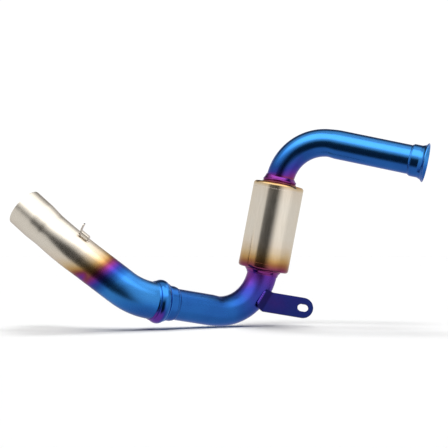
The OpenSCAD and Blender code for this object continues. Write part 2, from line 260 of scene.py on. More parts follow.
class Nodes:
    """Adds nodes to a tree in one call each, and links what is given as a socket."""

    def __init__(self, tree):
        self.tree = tree
        tree.nodes.clear()

    def add(self, kind, inputs=None, **settings):
        node = self.tree.nodes.new(kind)
        for key, value in settings.items():
            setattr(node, key, value)
        for key, value in (inputs or {}).items():
            if isinstance(value, bpy.types.NodeSocket):
                self.tree.links.new(value, node.inputs[key])
            else:
                node.inputs[key].default_value = value
        return node

    def math(self, operation, a, b=0.0, c=0.0, clamp=False):
        node = self.add("ShaderNodeMath", {0: a, 1: b, 2: c}, operation=operation, use_clamp=clamp)
        return node.outputs[0]

    def span(self, value, low, high, to_low=0.0, to_high=1.0, smooth=False):
        node = self.add(
            "ShaderNodeMapRange", {"Value": value, "From Min": low, "From Max": high,
                                   "To Min": to_low, "To Max": to_high},
            interpolation_type="SMOOTHSTEP" if smooth else "LINEAR")
        return node.outputs["Result"]

    def noise(self, vector, scale, detail=2.0, stretch=(1, 1, 1)):
        mapped = self.add("ShaderNodeMapping", {"Vector": vector, "Scale": stretch})
        node = self.add("ShaderNodeTexNoise", {"Vector": mapped.outputs[0], "Scale": scale,
                                               "Detail": detail})
        return node.outputs[0]

    def ramp(self, value, stops):
        node = self.add("ShaderNodeValToRGB", {"Fac": value})
        elements = node.color_ramp.elements
        elements.remove(elements[1])
        elements[0].position = stops[0][0]
        elements[0].color = (*stops[0][1], 1)
        for at, colour in stops[1:]:
            elements.new(at).color = (*colour, 1)
        return node.outputs[0]


def new_material(name):
    material = bpy.data.materials.new(name)
    material.use_nodes = True
    return material, Nodes(material.node_tree)


def tinted_metal(name, rough=(0.16, 0.24), streaks=(5, 1, 1), streak_scale=700, relief=0.03,
                 wander=0.02, edge=(0.8, 0.78, 0.9), shade=(0.95, 1.03)):
    """Satin metal whose colour follows its oxide attribute, which on some pieces also holds painted shade. streaks
    stretches the fine scratches:
    a high first number runs them round the pipe and a low one along it."""
    material, n = new_material(name)
    heat = n.add("ShaderNodeAttribute", attribute_name="oxide_and_shade").outputs["Fac"]
    flow = n.add("ShaderNodeAttribute", attribute_name="flow").outputs["Vector"]
    blotch = n.noise(flow, 45, 3)
    heat = n.math("ADD", heat, n.span(blotch, 0.25, 0.75, -wander, wander))
    colour = n.ramp(heat, TINTS)
    scratch = n.noise(flow, streak_scale, 4, streaks)
    cloud = n.noise(flow, 120, 3)
    value = n.span(scratch, 0.3, 0.7, *shade)
    toned = n.add("ShaderNodeHueSaturation", {"Color": colour, "Value": value})
    worn = n.math("ADD", n.span(scratch, 0.3, 0.7, 0, 0.5), n.span(cloud, 0.3, 0.7, 0, 0.5))
    bump = n.add("ShaderNodeBump", {"Height": scratch, "Strength": relief, "Distance": 0.05 * MM})
    shader = n.add("ShaderNodeBsdfPrincipled", {
        "Base Color": toned.outputs[0], "Metallic": 1.0, "Specular Tint": (*edge, 1),
        "Roughness": n.span(worn, 0, 1, *rough), "Normal": bump.outputs[0]})
    n.add("ShaderNodeOutputMaterial", {"Surface": shader.outputs[0]})
    return material


def plain_material(name, colour, metallic, rough, scale, relief, stretch=(1, 1, 1)):
    """For the inner pieces that keep their CAD shape: mottled colour and grain by position."""
    material, n = new_material(name)
    place_at = n.add("ShaderNodeTexCoord").outputs["Object"]
    grain = n.noise(place_at, scale, 5, stretch)
    dark = tuple(0.55 * c for c in colour)
    tone = n.ramp(grain, [(0.35, dark), (0.65, colour)])
    bump = n.add("ShaderNodeBump", {"Height": grain, "Strength": relief, "Distance": 0.3 * MM})
    shader = n.add("ShaderNodeBsdfPrincipled", {
        "Base Color": tone, "Metallic": metallic, "Normal": bump.outputs[0],
        "Roughness": n.span(grain, 0.3, 0.7, *rough)})
    n.add("ShaderNodeOutputMaterial", {"Surface": shader.outputs[0]})
    return material


# ---------------------------------------------------------------- mesh helpers

def arc_points(centre, radius, start, end, count=6):
    """Points on an arc in the (station, radius) plane, angles in degrees from the way."""
    angles = [math.radians(start + (end - start) * i / count) for i in range(count + 1)]
    return [(centre[0] + radius * math.cos(a), centre[1] + radius * math.sin(a)) for a in angles]


def rounded(points, radii, count=5):
    """A closed outline with its corners rounded. radii gives one radius, or one for each point."""
    if not hasattr(radii, "__len__"):
        radii = [radii] * len(points)
    made = []
    total = len(points)
    for i, (point, radius) in enumerate(zip(points, radii)):
        here = Vector(point)
        before = (Vector(points[i - 1]) - here)
        after = (Vector(points[(i + 1) % total]) - here)
        if radius <= 0:
            made.append(tuple(here))
            continue
        half = before.angle(after) / 2
        cut = min(radius / math.tan(half), 0.48 * before.length, 0.48 * after.length)
        radius = cut * math.tan(half)
        centre = here + (before.normalized() + after.normalized()).normalized() * radius / math.sin(half)
        first = here + before.normalized() * cut - centre
        last = here + after.normalized() * cut - centre
        sweep = first.angle_signed(last)
        for k in range(count + 1):
            turned = Matrix.Rotation(-sweep * k / count, 2) @ first
            made.append(tuple(centre + turned))
    return made


def fine(points, step=STEP, hold=0.12 * MM):
    """The same closed outline with no side longer than step, and with a point close to each end
    of every long side, so that rounded corners shade crisply."""
    made = []
    for i, point in enumerate(points):
        onward = points[(i + 1) % len(points)]
        length = math.dist(point, onward)
        parts = max(1, math.ceil(length / step))
        shares = [k / parts for k in range(parts)]
        if length > 4 * hold:
            shares = [0, hold / length] + shares[1:] + [1 - hold / length]
        made += [tuple(a + (b - a) * share for a, b in zip(point, onward)) for share in shares]
    return made


def new_object(name, verts, faces, flow=None, heat=None):
    mesh = bpy.data.meshes.new(name)
    mesh.from_pydata([tuple(v) for v in verts], [], faces)
    if flow is not None:
        made = mesh.attributes.new("flow", "FLOAT_VECTOR", "POINT")
        made.data.foreach_set("vector", np.asarray(flow, np.float32).ravel())
    if heat is not None:
        made = mesh.attributes.new("oxide_and_shade", "FLOAT", "POINT")
        made.data.foreach_set("value", np.asarray(heat, np.float32).ravel())
    mesh.shade_smooth()
    obj = bpy.data.objects.new(name, mesh)
    bpy.context.scene.collection.objects.link(obj)
    return obj


def ring(name, run, outline, heat, swell=None, around=AROUND):
    """A closed outline of (station, radius) points carried round a run. The outer side runs
    with the station and the inner side back. heat(s, out, p) gives the tint, and
    swell(s, r, turn, out) the radius where it isn't the outline's own."""
    s = np.array([p[0] for p in outline])[:, None]
    r = np.array([p[1] for p in outline])[:, None]
    turn = np.linspace(0, 2 * math.pi, around, endpoint=False)[None, :]
    frames = [run.at(float(x)) for x in s[:, 0]]
    point, _, side, up = (np.array([list(f[k]) for f in frames])[:, None, :] for k in range(4))
    out = np.cos(turn)[..., None] * side + np.sin(turn)[..., None] * up
    radius = r + 0 * turn if swell is None else swell(s, r, turn, out)
    verts = point + radius[..., None] * out
    rows = len(outline)
    index = np.arange(rows * around).reshape(rows, around)
    below, right = np.roll(index, -1, axis=0), np.roll(index, -1, axis=1)
    corner = np.roll(below, -1, axis=1)
    faces = np.stack([index, right, corner, below], axis=-1).reshape(-1, 4)
    flow = np.stack([s + 0 * turn, radius * np.cos(turn), radius * np.sin(turn)], axis=-1)
    warmth = np.broadcast_to(heat(s + 0 * turn, out, verts), radius.shape)
    return new_object(name, verts.reshape(-1, 3), faces.tolist(), flow.reshape(-1, 3), warmth)


def tube_outline(start, end, outer, wall, lip=0.35 * MM):
    """Half section of a plain tube with eased ends."""
    inner = outer - wall
    corners = [(start, outer), (end, outer), (end, inner), (start, inner)]
    return fine(rounded(corners, lip))


def ovalled(run, amount):
    """Radius of a bent pipe: a little flatter towards the bend's centre, and wider across."""
    def swell(s, r, turn, out):
        made = r + 0 * turn
        for i, station in enumerate(s[:, 0]):
            share, inward = run.bend_lean(float(station))
            if share:
                lean = out[i] @ np.array(inward)
                made[i] *= 1 - amount * share * (2 * lean * lean - 0.7)
        return made
    return swell


def bead(name, run, start, end, bulge, heat, pitch=2.1 * MM, ripple=0.28, sink=0.35 * MM):
    """A weld bead round a run from one (station, radius) corner to another, with the overlapping
    crescents of the torch."""
    count = 12
    step = Vector((end[0] - start[0], end[1] - start[1]))
    across = Vector((-step[1], step[0])).normalized()
    shares = [k / count for k in range(count + 1)]
    top = [(start[0] + step[0] * t, start[1] + step[1] * t) for t in shares]
    crown = np.array([math.sqrt(max(0.0, 4 * t * (1 - t))) for t in shares])
    under = [(end[0] - across[0] * sink, end[1] - across[1] * sink),
             (start[0] - across[0] * sink, start[1] - across[1] * sink)]
    turns = max(12, round(2 * math.pi * max(start[1], end[1]) / pitch))
    around = turns * 8
    slant = np.array([2.2 * (2 * t - 1) ** 2 for t in shares])

    def swell(s, r, turn, out):
        made = r + 0 * turn
        wave = np.abs(np.sin(turns * turn / 2 + slant[:, None]))
        high = bulge * crown[:, None] * (1 - ripple + ripple * wave ** 0.7)
        made[:count + 1] += high * across[1]
        return made

    return ring(name, run, top + under, heat, swell, around)


def rod(name, run, stations, section, heat):
    """A capped solid along a run. section(s) gives its closed outline as (side, up) offsets, and
    heat(s) its tint."""
    verts, flow, warmth = [], [], []
    for s in stations:
        point, _, side, up = run.at(s)
        for a, b in section(s):
            verts.append(point + side * a + up * b)
            flow.append((s, a, b))
            warmth.append(heat(s))
    count = len(section(stations[0]))
    rows = len(stations)
    faces = []
    for row in range(rows - 1):
        for k in range(count):
            a, b = row * count + k, row * count + (k + 1) % count
            faces.append((a, b, b + count, a + count))
    for row, flip in ((0, True), (rows - 1, False)):
        first = row * count
        centre = len(verts)
        verts.append(sum(verts[first:first + count], Vector()) / count)
        flow.append((stations[row], 0, 0))
        warmth.append(heat(stations[row]))
        for k in range(count):
            a, b = first + k, first + (k + 1) % count
            faces.append((centre, b, a) if flip else (centre, a, b))
    return new_object(name, verts, faces, flow, warmth)


def spread(start, end, step):
    parts = max(2, math.ceil((end - start) / step))
    return [start + (end - start) * k / parts for k in range(parts + 1)]


def ellipse(half_side, half_up, count=24):
    turns = [2 * math.pi * k / count for k in range(count)]
    return [(half_side * math.cos(t), half_up * math.sin(t)) for t in turns]


def stitched(run, name, half_side, half_up, heat, pitch=1.8 * MM):
    """A straight bead of overlapping weld puddles, rounded off at both ends."""
    def section(s):
        puddle = abs(math.sin(math.pi * s / pitch)) ** 0.6
        end = min(1.0, (min(s, run.length - s) / (1.6 * half_side)) + 0.02)
        size = (0.86 + 0.14 * puddle) * math.sqrt(max(0.0, 1 - (1 - end) ** 2))
        return ellipse(half_side * size, half_up * size)
    return rod(name, run, spread(0, run.length, 0.22 * MM), section, heat)


def finish_piece(obj, material, slot, body, *nodes):
    obj.data.materials.append(material)
    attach(obj, body)
    if nodes:
        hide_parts(*nodes)
    return obj


# ---------------------------------------------------------------- materials

inlet_metal = tinted_metal("inlet_blue_tint_and_shade", rough=(0.14, 0.2))
header_metal = tinted_metal("header_blue_tint_and_shade", rough=(0.17, 0.24), streaks=(0.35, 1, 1))
neck_metal = tinted_metal("neck_violet_tint", rough=(0.14, 0.22))
can_metal = tinted_metal("can_brushed_satin", rough=(0.15, 0.21), streaks=(0.05, 1, 1),
                         streak_scale=1100, relief=0.05, edge=(0.9, 0.87, 0.82), shade=(0.93, 1.04))
elbow_metal = tinted_metal("elbow_blue_tint", rough=(0.24, 0.34), streaks=(0.4, 1, 1))
# shade=(0.3, 0.36) darkens the bracket's tint to about a third of its value.
bracket_metal = tinted_metal("bracket_indigo_tint", rough=(0.26, 0.36), streaks=(0.3, 1, 1),
                             shade=(0.3, 0.36))
joint_metal = tinted_metal("joint_blue_tint_and_shade", rough=(0.14, 0.2))
tail_metal = tinted_metal("tail_graded_tint_and_shade", rough=(0.24, 0.3), streaks=(0.35, 1, 1),
                          edge=(0.75, 0.72, 0.72))
weld_metal = tinted_metal("weld_bead_tint_and_shade", rough=(0.16, 0.26), streaks=(1, 1, 1), wander=0.06)
hook_metal = tinted_metal("hook_bare_steel", rough=(0.16, 0.26), streaks=(1, 1, 1))

core_metal = plain_material("core_steel", (0.55, 0.55, 0.56), 1.0, (0.3, 0.45), 600, 0.2)
wool_fibres = plain_material("steel_wool", (0.42, 0.41, 0.40), 0.6, (0.5, 0.8), 900, 0.9, (1, 1, 6))
glass_fibres = plain_material("glass_fibre", (0.86, 0.83, 0.70), 0.0, (0.7, 0.95), 700, 0.9, (1, 5, 1))
graphite = plain_material("graphite", (0.09, 0.09, 0.10), 0.2, (0.45, 0.65), 800, 0.3)


# ---------------------------------------------------------------- header

header_heat = along((0, 1.0), (header_bend[0] + 40 * MM, 1.0), (header_bend[1] - 22 * MM, 0.86),
                    (header_bend[1] - 8 * MM, 0.7), (header_bend[1] - 2 * MM, 0.5),
                    (header_bend[1] + 4 * MM, 0.44))


def header_tint_and_shade(s, out, p):
    """Blue, with painted shade underneath as a deeper blue, and purple inside the bend towards the can."""
    # Painted shade: the underside gets a lower tint value, a darker and deeper blue, with more of it from the bend
    # on.
    under = soft_step(-out[..., 2], -0.35, 0.5)
    near = soft_step(s, header_bend[0] - 10 * MM, header_bend[0] + 55 * MM)
    return header_heat(s) - under * (0.2 + 0.06 * near)


def make_inlet():
    rim, neck, bore, seat = 25.5 * MM, 21 * MM, HEADER_R - WALL, HEADER_R - 0.3 * MM
    flare, pipe_end, length, chamfer = 8 * MM, 9 * MM, 19 * MM, 0.8 * MM
    corners = [(0, rim), (1.1 * MM, rim), (3.4 * MM, 22.9 * MM), (flare, neck),
               (length - chamfer, neck), (length, neck - chamfer), (length, seat),
               (pipe_end, seat), (pipe_end, bore), (0, rim - 1.2 * MM)]
    radii = [0.4 * MM, 0.5 * MM, 6 * MM, 6 * MM, 0.6 * MM, 0.5 * MM, 0, 0, 2 * MM, 0.3 * MM]
    collar = ring("inlet_collar_shell", gas_line, fine(rounded(corners, radii)), header_tint_and_shade)
    finish_piece(collar, inlet_metal, "inlet_blue", "root", "inlet_collar")
    weld = bead("inlet_weld_bead", gas_line, (length - 0.1 * MM, neck - chamfer),
                (length + 2 * MM, HEADER_R - 0.05 * MM), 0.35 * MM, header_tint_and_shade)
    finish_piece(weld, weld_metal, "weld_tint", "root", "inlet_weld")


def make_header():
    outline = tube_outline(9.2 * MM, can_start + 3.6 * MM, HEADER_R, WALL)
    pipe = ring("header_tube", gas_line, outline, header_tint_and_shade, ovalled(gas_line, 0.035))
    finish_piece(pipe, header_metal, "header_blue", "root", "header_pipe")


# ---------------------------------------------------------------- can

def on_can(z):
    return can_start + z * MM


neck_heat = along((on_can(-3), 0.52), (on_can(1), 0.49), (on_can(3), 0.45), (on_can(4.6), 0.37))
cap_heat = along((on_can(4.5), 0.44), (on_can(5.6), 0.35), (on_can(8), 0.22), (on_can(13), 0.08),
                 (on_can(30), 0.02))
base_heat = along((CAP_BOTTOM - 44 * MM, 0.02), (CAP_BOTTOM - 24 * MM, 0.17),
                  (CAP_BOTTOM - 14 * MM, 0.28), (CAP_BOTTOM - 7 * MM, 0.37), (CAP_BOTTOM, 0.46))


def can_tint(s, out, p):
    return np.maximum(cap_heat(s), base_heat(s))


def neck_tint(s, out, p):
    return neck_heat(s)


def make_upper_neck():
    """Two rounded rings over a sleeve that reaches into the can's cap, and a flared bead above."""
    r = HEADER_R
    corners = [(on_can(-0.6), r + 1.9 * MM), (on_can(0.6), r + 2.9 * MM), (on_can(2.2), r + 2.9 * MM),
               (on_can(2.9), r + 1.7 * MM), (on_can(3.5), r + 3.4 * MM), (on_can(5.3), r + 3.4 * MM),
               (on_can(5.3), r + 1.5 * MM), (on_can(9), r + 1.5 * MM), (on_can(9), r),
               (on_can(3.9), r), (on_can(3.9), r + SEAM_GAP), (on_can(-0.6), r + SEAM_GAP)]
    radii = [0.5 * MM, 1.2 * MM, 1.0 * MM, 0.4 * MM, 0.8 * MM, 0.8 * MM, 0.2 * MM, 0, 0, 0, 0, 0]
    neck = ring("upper_neck_collar", gas_line, fine(rounded(corners, radii), 0.8 * MM), neck_tint)
    finish_piece(neck, neck_metal, "neck_violet", "root", "upper_neck")
    weld = bead("upper_neck_beads", gas_line, (on_can(-4.4), r + 0.04 * MM),
                (on_can(-0.3), r + 2.1 * MM), -0.3 * MM, neck_tint)
    finish_piece(weld, weld_metal, "weld_tint", "root", "upper_neck_weld")


def cap_outline(face, way, hole):
    """Half section of a can's end cap, whose flat face is at a station. way is 1 where the can
    lies further on and -1 where it lies before."""
    inside, skirt_end = face + way * CAN_WALL, face + way * CAP_SKIRT
    corners = [(face, hole), (face, CAN_R), (skirt_end, CAN_R), (skirt_end, CAN_R - CAN_WALL),
               (inside, CAN_R - CAN_WALL), (inside, hole)]
    radii = [0, CAP_SHOULDER, 0, 0, CAP_SHOULDER - CAN_WALL, 0]
    outline = fine(rounded(corners, radii, 10))
    return outline if way > 0 else outline[::-1]


def make_can():
    top = ring("can_top_dome", gas_line, cap_outline(CAP_TOP, 1, HEADER_R + CAN_WALL), can_tint)
    finish_piece(top, can_metal, "can_satin", "root", "can_top_cap")
    base = ring("can_bottom_dome", gas_line, cap_outline(CAP_BOTTOM, -1, ELBOW_R + CAN_WALL),
                can_tint)
    finish_piece(base, can_metal, "can_satin", "root", "can_bottom_cap")
    start, end, inner = CAP_TOP + CAP_SKIRT, CAP_BOTTOM - CAP_SKIRT, CAN_R - CAN_WALL
    corners = [(start, CAN_R), (end, CAN_R), (end, inner), (start, inner)]
    shell = ring("can_sleeve", gas_line, fine(corners), can_tint)
    finish_piece(shell, can_metal, "can_satin", "root", "can_shell")


lower_heat = along((CAP_BOTTOM - 2 * MM, 0.42), (CAP_BOTTOM + 4 * MM, 0.5),
                   (CAP_BOTTOM + 12 * MM, 0.57))


def lower_tint(s, out, p):
    return lower_heat(s)


def make_lower_neck():
    z, r = CAP_BOTTOM, ELBOW_R
    into_can, length, collar = 3.8 * MM, 5 * MM, r + 3.4 * MM
    corners = [(z - into_can, r + CAN_WALL), (z, r + CAN_WALL), (z, collar), (z + 1.4 * MM, collar),
               (z + 2 * MM, r + 2.6 * MM), (z + length, r + 0.6 * MM), (z + length, r + SEAM_GAP),
               (z - into_can, r + SEAM_GAP)]
    radii = [0, 0, 0.8 * MM, 0.7 * MM, 0.6 * MM, 0.3 * MM, 0, 0]
    neck = ring("lower_neck_cone", gas_line, fine(rounded(corners, radii), 0.8 * MM), lower_tint)
    finish_piece(neck, neck_metal, "neck_violet", "root", "lower_neck")
    weld = bead("lower_neck_beads", gas_line, (z + length - 0.1 * MM, r + 0.7 * MM),
                (z + length + 2 * MM, r), 0.25 * MM, lower_tint)
    finish_piece(weld, weld_metal, "weld_tint", "root", "lower_neck_weld")


# ---------------------------------------------------------------- elbow

elbow_heat = along((CAP_BOTTOM, 0.55), (elbow_bend[0] + 12 * MM, 0.58), (elbow_bend[0] + 30 * MM, 0.64),
                   (elbow_bend[0] + 55 * MM, 0.72), (elbow_bend[0] + 75 * MM, 0.80),
                   (elbow_bend[1] + 20 * MM, 0.82), (joint_station - 30 * MM, 0.82))


def elbow_tint(s, out, p):
    """Purple by the can and inside the bend, then blue towards the joint."""
    inside = soft_step(out @ np.array(Vector((-0.7, 0, 0.7))), 0.2, 1.0)
    near = 1 - soft_step(s, elbow_bend[1] - 10 * MM, elbow_bend[1] + 40 * MM)
    return elbow_heat(s) - 0.07 * inside * near


def make_elbow():
    outline = tube_outline(CAP_BOTTOM + 1.8 * MM, joint_station - 14 * MM, ELBOW_R, WALL)
    pipe = ring("elbow_tube", gas_line, outline, elbow_tint, ovalled(gas_line, 0.03))
    finish_piece(pipe, elbow_metal, "elbow_blue", "root", "elbow_pipe")


# ---------------------------------------------------------------- slip joint

def at_joint(z):
    return joint_station + z * MM


def joint_tint_and_shade(s, out, p):
    """Blue, with painted shade low down on the tail's side as a darker purple."""
    # Painted shade: the lower side by the tail gets a lower tint value, a darker purple.
    low = soft_step(-out[..., 2], -0.2, 0.8) * soft_step(s, at_joint(-6), at_joint(3))
    return 0.92 - 0.36 * low


def sleeve_tint_and_shade(s, out, p):
    # Blue, with painted shade: a darker blue towards the bottom.
    return 0.84 - 0.1 * soft_step(-out[..., 2], 0.0, 1.0)


def make_joint():
    """The sleeve on the elbow pipe, with a thinner step at its outer end."""
    r, bore, seat = SLEEVE_R, ELBOW_R - WALL, ELBOW_R + 0.05 * MM
    start, end, pipe_end = at_joint(-20.8), at_joint(9), at_joint(-14)
    corners = [(start, r - 1.2 * MM), (at_joint(-18.6), r - 1.0 * MM), (at_joint(-17.8), r),
               (end, r), (end, bore), (pipe_end, bore), (pipe_end, seat), (start, seat)]
    radii = [0.4 * MM, 0.6 * MM, 0.5 * MM, 0.5 * MM, 0.4 * MM, 0, 0, 0]
    sleeve = ring("joint_sleeve_tube", gas_line, fine(rounded(corners, radii)), sleeve_tint_and_shade)
    finish_piece(sleeve, joint_metal, "joint_blue", "root", "joint_sleeve")
    weld = bead("sleeve_weld_bead", gas_line, (start - 2 * MM, ELBOW_R),
                (start + 0.4 * MM, r - 1.0 * MM), 0.5 * MM, sleeve_tint_and_shade)
    finish_piece(weld, weld_metal, "weld_tint", "root", "sleeve_weld")


def make_socket():
    """A bead ring with a domed back, a thin bright lip at its mouth and a groove for the seal."""
    bore, lip = SLEEVE_R + 0.1 * MM, TAIL_R + 0.7 * MM
    groove = bore + 2.9 * MM
    crown, dome_r, foot = 28 * MM, 8.4 * MM, 7.2 * MM
    low = math.degrees(math.acos(foot / dome_r))
    dome = arc_points((at_joint(0), crown - dome_r), dome_r, 180 - low, low, 26)
    mouth, back, tail_end, seat = at_joint(-8.5), at_joint(8.5), at_joint(5), TAIL_R + 0.05 * MM
    groove_start, groove_end = at_joint(-3.8), at_joint(3.8)
    corners = [(mouth, lip), (mouth + 1 * MM, lip)] + dome
    radii = [0.35 * MM, 0.2 * MM] + [0] * len(dome)
    corners += [(back, TAIL_R + 1.2 * MM), (back, seat), (tail_end, seat), (tail_end, bore),
                (groove_end, bore), (groove_end, groove), (groove_start, groove),
                (groove_start, bore), (mouth, bore)]
    radii += [0.4 * MM, 0, 0, 0, 0, 0, 0, 0, 0.3 * MM]
    socket = ring("socket_bead_ring", gas_line, fine(rounded(corners, radii, 6), 0.9 * MM), joint_tint_and_shade)
    finish_piece(socket, joint_metal, "joint_blue", "tail", "socket_ring")
    weld = bead("socket_weld_bead", gas_line, (back - 0.1 * MM, TAIL_R + 1.2 * MM),
                (back + 1.9 * MM, TAIL_R + 0.02 * MM), 0.25 * MM, joint_tint_and_shade)
    finish_piece(weld, weld_metal, "weld_tint", "tail", "socket_weld")


# ---------------------------------------------------------------- tail

TINT_SLANT = math.tan(math.radians(16))
BAND = gas_line.length - 129 * MM        # where the tail's tint passes through magenta
tail_heat = along((BAND - 60 * MM, 0.98), (BAND - 24 * MM, 0.93), (BAND - 12 * MM, 0.7),
                  (BAND - 5 * MM, 0.56), (BAND, 0.46), (BAND + 5 * MM, 0.37), (BAND + 10 * MM, 0.29),
                  (BAND + 20 * MM, 0.18), (BAND + 36 * MM, 0.07), (BAND + 60 * MM, 0.0))


def tail_tint(s, out, p):
    """Blue, magenta, straw and bare along a slanted front, which comes later underneath, with painted shade on the
    lower side near the joint.
    """
    lean = TAIL_R * (out @ np.array(Vector((0.61, 0, 0.79))))
    under = soft_step(-out[..., 2], 0.0, 0.7) * soft_step(s, BAND + 6 * MM, BAND + 16 * MM)
    # Painted shade: the lower side near the joint gets a lower tint value, a darker and deeper blue.
    painted_shade_near_joint = soft_step(-out[..., 2], -0.2, 0.8) * (1 - soft_step(s, at_joint(20), at_joint(60)))
    return tail_heat(s + TINT_SLANT * lean - 14 * MM * under) - 0.2 * painted_shade_near_joint


def make_tail():
    swage = gas_line.length - SWAGE_LEN
    """The tail pipe, whose swage widens it softly to the outlet's radius."""
    start, end = at_joint(5.2), gas_line.length
    foot, shoulder, soft = swage - 11 * MM, swage + 8 * MM, 60 * MM
    corners = [(start, TAIL_R), (foot, TAIL_R), (shoulder, OUTLET_R), (end, OUTLET_R),
               (end, OUTLET_R - WALL), (shoulder, OUTLET_R - WALL),
               (foot, TAIL_R - WALL), (start, TAIL_R - WALL)]
    radii = [0.3 * MM, soft, soft, 0.4 * MM, 0.4 * MM, soft, soft, 0.3 * MM]
    tail = ring("tail_tube", gas_line, fine(rounded(corners, radii)), tail_tint,
                ovalled(gas_line, 0.02))
    finish_piece(tail, tail_metal, "tail_tint", "tail", "tail_pipe")


# ---------------------------------------------------------------- bracket

BRACKET_T = 3 * MM
LUG_HALF = 13.5 * MM
LUG_REACH = 48 * MM                      # from the fold to the middle of the slot
SLOT_HALF_W, SLOT_HALF_LEN = 5 * MM, 7 * MM
LUG_DROOP = math.radians(9.4)
FOLD_SLANT = math.radians(21.8)
FOOT_FOLD = math.radians(42)
FOOT_W = 12 * MM
FOLD_R = 3 * MM                          # of the plate's middle layer, round the fold
PLATE_EDGE = 0.35 * MM                   # rounding of the plate's edges
FOOT_CORNER = 2.5 * MM
TAPER = 2.2 * MM                         # how far past the fold the lug's straight sides start

lug_face = axis_of("bracket_slot")
lug_way = Vector((math.cos(LUG_DROOP), 0, -math.sin(LUG_DROOP)))
lug_up = lug_face.cross(lug_way)
fold_at = place("bracket_slot") - lug_way * LUG_REACH - lug_face * BRACKET_T / 2
fold_out = lug_way * math.cos(FOLD_SLANT) - lug_up * math.sin(FOLD_SLANT)
fold_line = lug_way * math.sin(FOLD_SLANT) + lug_up * math.cos(FOLD_SLANT)
FOLD_CORNER = BRACKET_T / 2 * math.tan(FOOT_FOLD / 2)
FOLD_LAST = FOLD_CORNER + FOLD_R * math.tan(FOOT_FOLD / 2)
FOLD_FIRST = FOLD_LAST - FOLD_R * FOOT_FOLD
FOOT_END = FOLD_FIRST - (FOOT_W - FOLD_LAST)


def from_lug(u, v):
    """Flat-plate coordinates, square to the fold and along it, of a point on the lug."""
    c, s = math.cos(FOLD_SLANT), math.sin(FOLD_SLANT)
    return u * c - v * s, u * s + v * c


def folded(p, q, w):
    """Where a point of the flat plate goes when the foot is folded to the front. w is its height
    over the plate's middle layer."""
    lift, at = BRACKET_T / 2 + w, p
    if p < FOLD_LAST:
        angle = min((FOLD_LAST - p) / FOLD_R, FOOT_FOLD)
        beyond = max(0.0, FOLD_FIRST - p)
        inner = FOLD_R - w
        at = FOLD_LAST - inner * math.sin(angle) - beyond * math.cos(FOOT_FOLD)
        lift = BRACKET_T / 2 + FOLD_R - inner * math.cos(angle) + beyond * math.sin(FOOT_FOLD)
    return fold_at + fold_out * at + fold_line * q + lug_face * lift


def make_bracket():
    """A flat plate with rounded edges and a slot, cut into strips and then folded at its foot."""
    def arc(u, radius, first, last, count=28):
        turns = [math.radians(first + (last - first) * k / count) for k in range(count + 1)]
        return [from_lug(u + radius * math.cos(t), radius * math.sin(t)) for t in turns]

    brow = FOLD_LAST + 1 * MM
    slant = LUG_HALF * math.tan(FOLD_SLANT)
    foot = [(FOOT_END, LUG_HALF), (FOOT_END, -LUG_HALF)]
    foot = [(brow, LUG_HALF)] + foot + [(brow, -LUG_HALF)]
    foot = rounded(foot, [0, FOOT_CORNER, FOOT_CORNER, 0], 6)[1:-1]
    outline = foot + [from_lug(TAPER - slant, -LUG_HALF)]
    outline += arc(LUG_REACH, LUG_HALF, -90, 90, 48) + [from_lug(TAPER + slant, LUG_HALF)]
    off = SLOT_HALF_LEN - SLOT_HALF_W
    hole = arc(LUG_REACH + off, SLOT_HALF_W, -90, 90) + arc(LUG_REACH - off, SLOT_HALF_W, 90, 270)
    curve = bpy.data.curves.new("bracket_outline", "CURVE")
    curve.dimensions, curve.fill_mode = "2D", "BOTH"
    curve.extrude, curve.offset = BRACKET_T / 2 - PLATE_EDGE, -PLATE_EDGE
    curve.bevel_depth, curve.bevel_resolution = PLATE_EDGE, 2
    for points in (outline, hole):
        spline = curve.splines.new("POLY")
        spline.points.add(len(points) - 1)
        for point, (p, q) in zip(spline.points, points):
            point.co = (p, q, 0, 1)
        spline.use_cyclic_u = True
    flat = bpy.data.objects.new("bracket_outline", curve)
    bpy.context.scene.collection.objects.link(flat)
    mesh = bpy.data.meshes.new_from_object(flat)
    bpy.data.objects.remove(flat)
    bpy.data.curves.remove(curve)
    work = bmesh.new()
    work.from_mesh(mesh)
    bmesh.ops.remove_doubles(work, verts=work.verts, dist=0.002 * MM)
    cuts = spread(FOLD_FIRST, FOLD_LAST, 0.28 * MM) + spread(8 * MM, 60 * MM, 8 * MM)
    for cut in cuts:
        parts = work.verts[:] + work.edges[:] + work.faces[:]
        bmesh.ops.bisect_plane(work, geom=parts, dist=1e-7, plane_co=(cut, 0, 0), plane_no=(1, 0, 0))
    bmesh.ops.triangulate(work, faces=[f for f in work.faces if len(f.verts) > 4])
    flow = [tuple(v.co) for v in work.verts]
    warmth = [0.63 + 0.05 * soft_step(p, 10 * MM, 60 * MM) for p, _, _ in flow]
    verts = [folded(*place_at) for place_at in flow]
    faces = [[v.index for v in f.verts] for f in work.faces]
    work.free()
    plate = new_object("bracket_plate", verts, faces, flow, warmth)
    plate.data.set_sharp_from_angle(angle=math.radians(14))
    finish_piece(plate, bracket_metal, "bracket_indigo", "root", "mounting_bracket")
    reach = LUG_HALF - FOOT_CORNER
    ends = [folded(FOOT_END, side * reach, 0) for side in (1, -1)]
    edge_line = Run(ends, side=folded(FOOT_END - 1 * MM, 0, 0) - folded(FOOT_END, 0, 0))
    weld = stitched(edge_line, "bracket_weld_stitches", 2.1 * MM, 1.7 * MM, lambda s: 0.62, 3 * MM)
    finish_piece(weld, weld_metal, "weld_tint", "root", "bracket_weld")


# ---------------------------------------------------------------- hook and seam

HOOK_INTO = 9 * MM                       # past the start of the second tail bend
HOOK_TURN = math.radians(26)             # from the tail's top line towards the front


